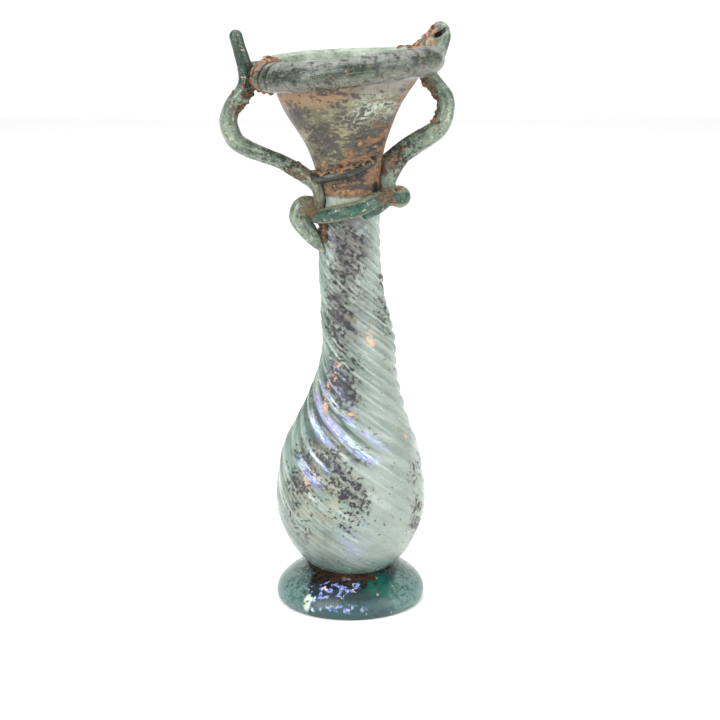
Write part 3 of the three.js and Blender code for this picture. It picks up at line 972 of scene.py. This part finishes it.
    fleck_zone = ink.zones(((-7, -8, 56), (5, 6, 9), 0.2), ((14, -7, 47), (5, 6, 6), 0.4),
                           ((1, -12, 53), (4, 5, 4), 0.3), ((5, -7, 73), (5, 6, 7), 0.2),
                           ((-10, -13, 37), (5, 6, 5), 0.3), ((-9, -3, 66), (4, 6, 14), 0.2),
                           ((-3, -7, 63), (4, 5, 6), 0.2), ((0, 14, 50), (10, 9, 16), 0.0))
    flecks = ink.noise(2.2, 5, 0.7, offset=(9, 2, 5))
    soil = ink.times(ink.step(ink.plus(flecks, ink.times(fleck_zone, 0.13)), 0.64, 0.67),
                     ink.step(crest, 0.75, 0.45))
    soil = ink.times(soil, ink.step(fleck_zone, 0.0, 0.2))
    clean_zone = ink.near((1, -8, 105), (9, 7, 3.4), 0.4)
    ink.coat((190, 196, 176), clean_zone, 0.8)
    collar = ink.step(ink.plus(ink.z, ink.times(ink.noise(2.5, 4), 3)), 108.0, 108.8)
    ink.coat((104, 82, 60), collar, 0.9)
    foot_soil = ink.times(ink.step(ink.z, 12.5, 10.2), ink.step(ink.noise(2, 5, 0.7), 0.5, 0.62))
    ink.coat(ink.mix(ink.step(ink.noise(0.8, 3), 0.4, 0.6), SALMON, (206, 164, 136)), soil)
    ink.coat((56, 50, 42), foot_soil, 0.8)
    pits = ink.step(ink.noise(1.05, 2, 0.5, offset=(1, 5, 3)), 0.68, 0.72)
    ink.coat(DARK_EARTH, pits, 0.8)
    dots = ink.plus(ink.noise(0.6, 4, 0.8, offset=(4, 4, 9)), ink.times(ink.step(ink.x, 6, -4), 0.04))
    dots = ink.step(dots, 0.65, 0.72)
    ink.coat((92, 84, 66), dots, 0.6)

    roughness = ink.blend(dark, ink.blend(ink.step(clumps, 0.35, 0.65), 0.14, 0.3), 0.5)
    roughness = ink.blend(soil, ink.blend(sheen, roughness, 0.1), 0.9)
    relief = ink.times(streaks, 0.5)
    relief = ink.minus(relief, ink.times(dark, grains, 0.3))
    relief = ink.minus(relief, ink.times(pits, 0.4))
    relief = ink.plus(relief, ink.times(soil, 0.4))
    return ink.finish(roughness, relief, 0.3)


def funnel_glass():
    ink = Ink("soiled_funnel", 0.1)
    lean = ink.minus(ink.z, ink.times(ink.x, 0.12))
    hoops = ink.vector("MULTIPLY", ink.place, (0.5, 0.5, 1.4))
    clouds = ink.noise(6, 7, 0.72, 0.3)
    bands = ink.noise(3.4, 6, 0.72, 0.3, where=hoops, offset=(2, 1, 8))
    grains = ink.noise(1.1, 6, 0.78, offset=(4, 1, 6))
    ink.colour = ink.mix(ink.step(clouds, 0.38, 0.6), (126, 120, 94), (84, 78, 56))
    pale_zone = ink.near((8, -12, 129), (13, 10, 7), 0.3)
    ink.coat((172, 180, 160), pale_zone, ink.step(bands, 0.4, 0.58))
    ink.coat((176, 176, 148), ink.step(grains, 0.52, 0.64), 0.5)
    earth_edge = ink.minus(lean, ink.times(ink.x, 0.9))
    earth_edge = ink.plus(earth_edge, ink.times(ink.minus(bands, 0.5), 34))
    earth = ink.step(earth_edge, 119, 114)
    tan = ink.mix(ink.step(grains, 0.4, 0.62), (92, 66, 45), (166, 121, 88))
    ink.coat(tan, earth, 0.85)
    under_rim = ink.times(ink.step(ink.plus(lean, ink.times(clouds, 5)), 132.5, 135.5),
                          ink.step(ink.x, 4, -6))
    ink.coat((146, 112, 80), under_rim, 0.8)
    lilac = ink.times(ink.step(lean, 131, 134), ink.step(ink.x, -2, 8))
    ink.coat((134, 128, 122), lilac, 0.7)
    mixed = ink.plus(ink.times(bands, 0.55), ink.times(grains, 0.45))
    zone = ink.zones(((-3, -12, 121), (14, 10, 10), 0.3), ((6, -9, 124), (7, 10, 6), 0.2),
                     ((-12, -8, 124), (7, 9, 9), 0.3), ((0, 12, 122), (14, 10, 12), 0.1))
    dark = ink.step(ink.plus(mixed, ink.times(zone, 0.06)), 0.52, 0.56)
    ink.coat(ink.mix(ink.step(grains, 0.42, 0.6), (16, 17, 18), (62, 58, 52)), dark, 0.95)
    slate_zone = ink.zones(((6, -8, 119), (6, 7, 5), 0.4), ((2, -9, 112), (8, 6, 4), 0.3))
    flakes = ink.noise(2.2, 3, 0.55, 0.4, where=ink.vector("MULTIPLY", ink.place, (0.45, 0.45, 1.5)),
                       offset=(6, 2, 4))
    slate = ink.times(slate_zone, ink.step(flakes, 0.51, 0.54))
    ink.coat((38, 44, 48), slate, 0.95)
    # Painted shade in the hollow between the right handle's foot and the neck trail.
    ink.coat(HOLLOW_SHADE, shaded_hollow(ink))
    fine = ink.noise(0.6, 4, 0.7)
    relief = ink.plus(ink.times(grains, 0.5), ink.times(fine, 0.2))
    relief = ink.minus(relief, ink.times(dark, 0.3))
    return ink.finish(ink.blend(dark, ink.blend(earth, 0.4, 0.85), 0.35), relief, 0.4)


def rim_glass():
    ink = Ink("rolled_rim", 0.15)
    up = ink.up()
    drawn = ink.vector("MULTIPLY", ink.attribute("upright", "Vector"), (0.2, 0.2, 1))
    clouds = ink.noise(4.5, 7, 0.75, 0.3)
    grains = ink.noise(0.9, 5, 0.75, offset=(2, 4, 4))
    streaks = ink.noise(0.5, 3, 0.6, where=drawn)
    ink.colour = ink.mix(ink.step(clouds, 0.38, 0.62), (44, 56, 46), (76, 86, 70))
    ink.coat((40, 50, 44), ink.step(streaks, 0.5, 0.62), 0.5)
    ink.coat((134, 138, 124), ink.step(streaks, 0.45, 0.34), 0.4)
    # Paler grey where the roll faces up: part dust, part painted top light.
    dust_and_top_light = ink.step(ink.plus(up, ink.times(ink.minus(clouds, 0.5), 1.4)), 0.35, 0.8)
    ink.coat((136, 137, 132), dust_and_top_light, ink.blend(ink.step(grains, 0.36, 0.56), 0.35, 0.85))
    lower = ink.step(ink.plus(up, ink.times(ink.minus(clouds, 0.5), 1.6)), 0.0, -0.5)
    mottle = ink.mix(ink.step(grains, 0.42, 0.6), (96, 86, 70), (122, 128, 118))
    ink.coat(mottle, lower, 0.6)
    behind = ink.step(ink.y, 1, 7)
    ink.coat(ink.mix(ink.step(clouds, 0.4, 0.6), (176, 190, 172), (138, 152, 134)), behind, 0.75)
    dark = ink.step(ink.noise(2.2, 7, 0.8, 0.3, offset=(3, 3, 3)), 0.52, 0.58)
    ink.coat((14, 18, 15), dark, ink.blend(behind, 0.9, 0.35))
    soil_zone = ink.zones(((-22, -4, 139.5), (5, 9, 4), 0.3), ((18, 9, 141), (8, 6, 5), 0.3),
                          ((-22, -6, 134), (4, 7, 3), 0.3))
    soil = ink.step(ink.plus(ink.noise(1.2, 6, 0.75, offset=(2, 6, 9)), ink.times(soil_zone, 0.14)), 0.6,
                    0.65)
    ink.coat((158, 118, 90), soil, 0.85)
    wobble = ink.times(ink.noise(2, 3, offset=(5, 5, 5)), 1.2)
    # Painted shade: a dark line along each crevice across the left end of the roll.
    for degrees, depth in CREVICES:
        turn = math.radians(degrees)
        beside = ink.plus(ink.times(ink.x, -math.sin(turn)), ink.times(ink.y, math.cos(turn)))
        beside = ink.absolute(ink.plus(ink.minus(beside, wobble), 0.6))
        crevice_shade = ink.times(ink.step(beside, 0.95 * depth, 0.35 * depth), ink.step(ink.x, -10, -14))
        ink.coat((26, 20, 16), crevice_shade)
    flecks = ink.step(ink.noise(0.6, 4, 0.75, 0.4, offset=(6, 2, 2)), 0.62, 0.68)
    ink.coat((186, 172, 150), flecks, 0.55)
    roughness = ink.blend(soil, ink.blend(dust_and_top_light, 0.22, 0.6), 0.9)
    relief = ink.plus(ink.times(streaks, 0.5), ink.times(grains, 0.3))
    relief = ink.plus(relief, ink.times(soil, 0.3))
    return ink.finish(roughness, relief, 0.3)


def inside_glass():
    ink = Ink("inner_wall", 0.05)
    clouds = ink.noise(6, 5, 0.7)
    ink.colour = ink.mix(ink.step(clouds, 0.4, 0.62), (206, 214, 200), (172, 188, 172))
    smears = ink.step(ink.noise(3, 6, 0.75, offset=(1, 4, 1)), 0.57, 0.63)
    ink.coat((140, 118, 88), smears, 0.5)
    return ink.finish(0.4, ink.noise(1.2, 5, 0.7), 0.2)


def foot_glass():
    ink = Ink("teal_foot", 0.06, specular=0.3)
    outwards = ink.vector("LENGTH", ink.vector("MULTIPLY", ink.place, (1, 1, 0)))
    clouds = ink.noise(5, 7, 0.72, 0.6)
    grains = ink.noise(1.3, 6, 0.78, offset=(5, 5, 1))
    ink.colour = ink.mix(ink.step(clouds, 0.4, 0.58), (3, 32, 32), (14, 40, 44))
    green = ink.times(ink.near((8, -12.5, 7), (7, 6, 6), 0.4), ink.step(clouds, 0.34, 0.46))
    ink.coat((4, 78, 66), green, 0.9)
    aside = ink.absolute(ink.x)
    pale = ink.step(ink.plus(aside, ink.times(clouds, 12)), 15.5, 19)
    mist = ink.mix(ink.step(grains, 0.4, 0.6), (50, 84, 80), (124, 150, 140))
    ink.coat(mist, pale, 0.8)
    rim_band = ink.step(ink.plus(outwards, ink.times(grains, 3)), 18.8, 20.2)
    ink.coat((84, 120, 118), rim_band, 0.3)
    ink.coat((16, 22, 22), ink.step(grains, 0.55, 0.64), 0.7)
    film_zone = ink.any_of(ink.near((-3, -14.5, 7), (9, 4.5, 4), 0.4),
                           ink.near((-10, -15, 5), (3, 4, 5), 0.4),
                           ink.times(ink.near((-2, -18, 3), (10, 3, 2), 0.1), 0.5))
    patches = ink.noise(1.9, 4, 0.6, 0.6, offset=(2, 7, 3))
    film = ink.times(ink.step(ink.plus(patches, ink.times(film_zone, 0.1)), 0.58, 0.61),
                     ink.step(film_zone, 0.0, 0.5))
    hue = ink.noise(2.4, 3, 0.6, offset=(7, 1, 1))
    tint = ink.ramp(hue,
                    [(0.34, (186, 214, 206)), (0.43, (120, 150, 200)), (0.48, (132, 140, 220)),
                     (0.53, (16, 60, 120)), (0.58, (166, 160, 222)), (0.66, (200, 206, 214))])
    ink.coat(tint, film, 0.95)
    streak = ink.times(ink.near((-11, -15, 3.6), (1.3, 2.4, 3), 0.5), ink.step(patches, 0.4, 0.5))
    ink.coat((196, 206, 176), streak, 0.8)
    cream = ink.times(ink.step(ink.noise(1.8, 3, 0.6, offset=(1, 3, 8)), 0.67, 0.7), 0.5)
    ink.coat((188, 180, 156), cream)
    soil_zone = ink.step(ink.plus(outwards, ink.times(clouds, 6)), 16.4, 13.6)
    front = ink.near((-3, -12, 9), (12, 6, 5), 0.5)
    soil = ink.times(soil_zone, ink.any_of(front, ink.step(grains, 0.5, 0.62)))
    ink.coat(ink.mix(ink.step(grains, 0.4, 0.6), (28, 19, 12), (104, 58, 30)), soil, 0.9)
    roughness = ink.blend(soil, ink.blend(grains, 0.06, 0.24), 0.85)
    relief = ink.plus(ink.times(patches, 0.5), ink.times(grains, 0.4))
    return ink.finish(roughness, relief, 0.3)


def rod_glass():
    ink = Ink("rod_glass", 0.22)
    about = ink.attribute("about", "Vector")
    along = ink.attribute("along")
    darkness = ink.attribute("darkness")
    drawn = ink.vector("ADD", about, ink.node("CombineXYZ", {"Z": ink.times(along, 0.14)}))
    clouds = ink.noise(3.6, 6, 0.72)
    grains = ink.noise(1.1, 6, 0.78, offset=(5, 2, 8))
    streaks = ink.noise(0.8, 4, 0.7, where=drawn)
    green_zone = ink.zones(((-26.4, -1, 145), (5, 6, 10), 0.7), ((26.4, 5, 142), (3, 6, 6), 0.5),
                           ((-24.5, -2, 136), (4, 5, 5), 0.5))
    deepness = ink.any_of(ink.step(darkness, 0.15, 0.7), green_zone)
    pale = ink.mix(ink.step(clouds, 0.38, 0.6), (80, 98, 86), (124, 138, 118))
    deep = ink.mix(ink.step(clouds, 0.4, 0.6), (20, 44, 34), (46, 68, 54))
    trail = ink.step(darkness, 0.6, 0.7)
    deep = ink.mix(trail, deep, ink.mix(ink.step(clouds, 0.4, 0.6), (14, 52, 42), (36, 84, 68)))
    ink.colour = ink.mix(deepness, pale, deep)
    ink.coat((26, 28, 24), ink.step(darkness, 0.8, 1.0))
    ink.coat((44, 56, 46), ink.step(streaks, 0.52, 0.62), 0.6)
    light = ink.mix(deepness, (178, 186, 164), (104, 124, 108))
    ink.coat(light, ink.step(streaks, 0.44, 0.34), 0.6)
    edge = ink.step(ink.absolute(ink.part(about, "Z")), 1.2, 1.6)
    ink.coat((156, 152, 122), trail, edge, 0.55)
    specks = ink.step(ink.noise(0.9, 3, 0.6, offset=(3, 1, 4)), 0.62, 0.66)
    specks = ink.times(specks, ink.blend(ink.step(darkness, 0.75, 0.9), 0.55, 0.0))
    ink.coat(CREAM, specks)
    olive = ink.times(ink.near((-9, -5, 106), (4, 5, 7), 0.4), 0.7)
    ink.coat((94, 88, 60), olive)
    soil_zone = ink.zones(((-23, -1, 133), (4, 5, 6), 0.5), ((-27, -1, 127), (5, 5, 6), 0.1),
                          ((19, 0, 131), (3.6, 5, 10), 0.4), ((10, -1, 115), (9, 6, 6), 0.2),
                          ((-13, -1, 112), (8, 6, 5), 0.2), ((-10, -5, 104), (4, 7, 5), 0.2),
                          ((9, -6, 107), (5, 6, 4), 0.3), ((20, 6, 146), (3.4, 5, 5), 0.5))
    soil = ink.step(ink.plus(grains, ink.times(soil_zone, 0.17)), 0.6, 0.66)
    crown = ink.near((20.5, 6, 145), (4, 6, 5), 0.5)
    ink.coat(ink.mix(crown, ink.mix(ink.step(clouds, 0.4, 0.6), (132, 98, 72), (74, 56, 40)),
                     (206, 166, 138)), soil, 0.85)
    # Black patches on the rods, gathered on the handles' arms; at the hollow by the right handle's foot and
    # under the left end of the rim they are painted shade.
    black_and_shade_zone = ink.any_of(ink.near((-24, -3, 134), (3, 4, 5), 0.3), shaded_hollow(ink),
                            ink.times(ink.near((-17, -1, 116), (12, 5, 7), 0.3), 0.8),
                            ink.times(ink.near((14, -2, 119), (8, 5, 8), 0.3), 0.75))
    black_and_shade = ink.step(ink.plus(grains, ink.times(black_and_shade_zone, 0.15)), 0.6, 0.65)
    ink.coat((26, 26, 20), black_and_shade, 0.85)
    # Painted shade: the slit near the tip of the right thumb-rest is painted nearly black.
    ink.coat((20, 16, 12), ink.step(ink.attribute("slit"), 0.3, 0.7))
    roughness = ink.blend(soil, ink.blend(ink.step(clouds, 0.3, 0.7), 0.14, 0.34), 0.9)
    relief = ink.plus(ink.times(streaks, 0.5), ink.times(grains, 0.3))
    relief = ink.plus(relief, ink.times(soil, 0.3))
    return ink.finish(roughness, relief, 0.3)


def soil_material():
    ink = Ink("caked_soil", 0.0, specular=0.2)
    clouds = ink.noise(2.6, 6, 0.75)
    grains = ink.noise(0.7, 5, 0.8, offset=(2, 2, 7))
    low = ink.step(ink.z, 30, 60)
    shade = ink.zones(((-24, -2, 132), (4, 6, 6), 0.4), ((-8.5, -5, 98.5), (5, 7, 6), 0.5))
    pale = ink.mix(low, (58, 36, 22), (144, 108, 82))
    deep = ink.mix(low, (17, 14, 11), (74, 58, 44))
    pale = ink.mix(ink.times(shade, 0.75), pale, (62, 48, 36))
    crown = ink.zones(((19, 7, 144), (7, 9, 5), 0.4), ((-21, -4, 141.5), (6, 9, 3), 0.4))
    pale = ink.mix(ink.times(crown, 0.7), pale, (206, 162, 132))
    ink.colour = ink.mix(ink.step(clouds, 0.42, 0.58), deep, pale)
    ink.coat(ink.mix(low, (108, 64, 36), (182, 146, 118)), ink.step(grains, 0.54, 0.64),
             ink.blend(low, 0.4, 0.8))
    ink.coat((22, 20, 16), ink.step(grains, 0.44, 0.34), 0.95)
    # Painted shade in the hollow between the right handle's foot and the neck trail.
    ink.coat(HOLLOW_SHADE, shaded_hollow(ink))
    return ink.finish(0.92, grains, 0.5)


def make_stage():
    """A pale floor that curves up into a backdrop."""
    reach, depth, bend = 3.0, 2.2, 0.9
    profile = [(-reach, 0.0)] + [(depth - bend + bend * math.sin(a), bend - bend * math.cos(a))
                                 for a in np.radians(np.linspace(0, 90, 24))] + [(depth, 3.0)]
    points = [(x, y, z) for y, z in profile for x in (-reach, reach)]
    faces = [(2 * k, 2 * k + 1, 2 * k + 3, 2 * k + 2) for k in range(len(profile) - 1)]
    floor = mesh_object("floor", points, faces, 1)
    material = bpy.data.materials.new("pale_floor")
    material.use_nodes = True
    shader = material.node_tree.nodes["Principled BSDF"]
    shader.inputs["Base Color"].default_value = (FLOOR_GREY, FLOOR_GREY, FLOOR_GREY, 1)
    shader.inputs["Roughness"].default_value = 0.7
    floor.data.materials.append(material)


def area_light(name, place, target, size, power):
    data = bpy.data.lights.new(name, "AREA")
    data.shape = "RECTANGLE"
    data.size, data.size_y = size
    data.energy = power
    light = add_object(name, data)
    light.location = place
    light.rotation_euler = (Vector(target) - Vector(place)).to_track_quat("-Z", "Y").to_euler()


def make_lights():
    middle = (0, 0, 0.08)
    area_light("key", (-0.55, -0.6, 0.55), middle, (0.35, 0.6), 9)
    area_light("fill", (0.8, -0.5, 0.4), middle, (0.5, 0.8), 8)
    area_light("top", (0, 0.1, 1.1), middle, (1.2, 1.2), 13)
    area_light("backdrop", (0, 0.9, 0.9), (0, 2.2, 1.1), (2.4, 1.2), 16)
    world = bpy.data.worlds.new("studio")
    world.use_nodes = True
    background = world.node_tree.nodes["Background"]
    background.inputs["Color"].default_value = (1, 1, 1, 1)
    background.inputs["Strength"].default_value = STUDIO_STRENGTH
    bpy.context.scene.world = world


def make_camera():
    data = bpy.data.cameras.new("camera")
    data.lens = CAMERA_LENS
    data.sensor_width = CAMERA_SENSOR
    data.clip_start = 0.01
    camera = add_object("camera", data)
    camera.location = CAMERA_PLACE
    camera.rotation_euler = (math.radians(90 - CAMERA_DIP_DEG), 0, 0)
    bpy.context.scene.camera = camera


make_camera()
make_stage()
make_lights()
bpy.context.scene.view_settings.view_transform = "Standard"

flask = blown_bubble()
rods = melted_rods()
soils = soil_pieces()
for material in (foot_glass(), body_glass(), funnel_glass(), rim_glass(), inside_glass()):
    flask.data.materials.append(material)
rods.data.materials.append(rod_glass())
earth = soil_material()
for piece in soils:
    piece.data.materials.append(earth)
for piece in (flask, rods, *soils):
    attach(piece, "root")
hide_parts("amphoriskos")
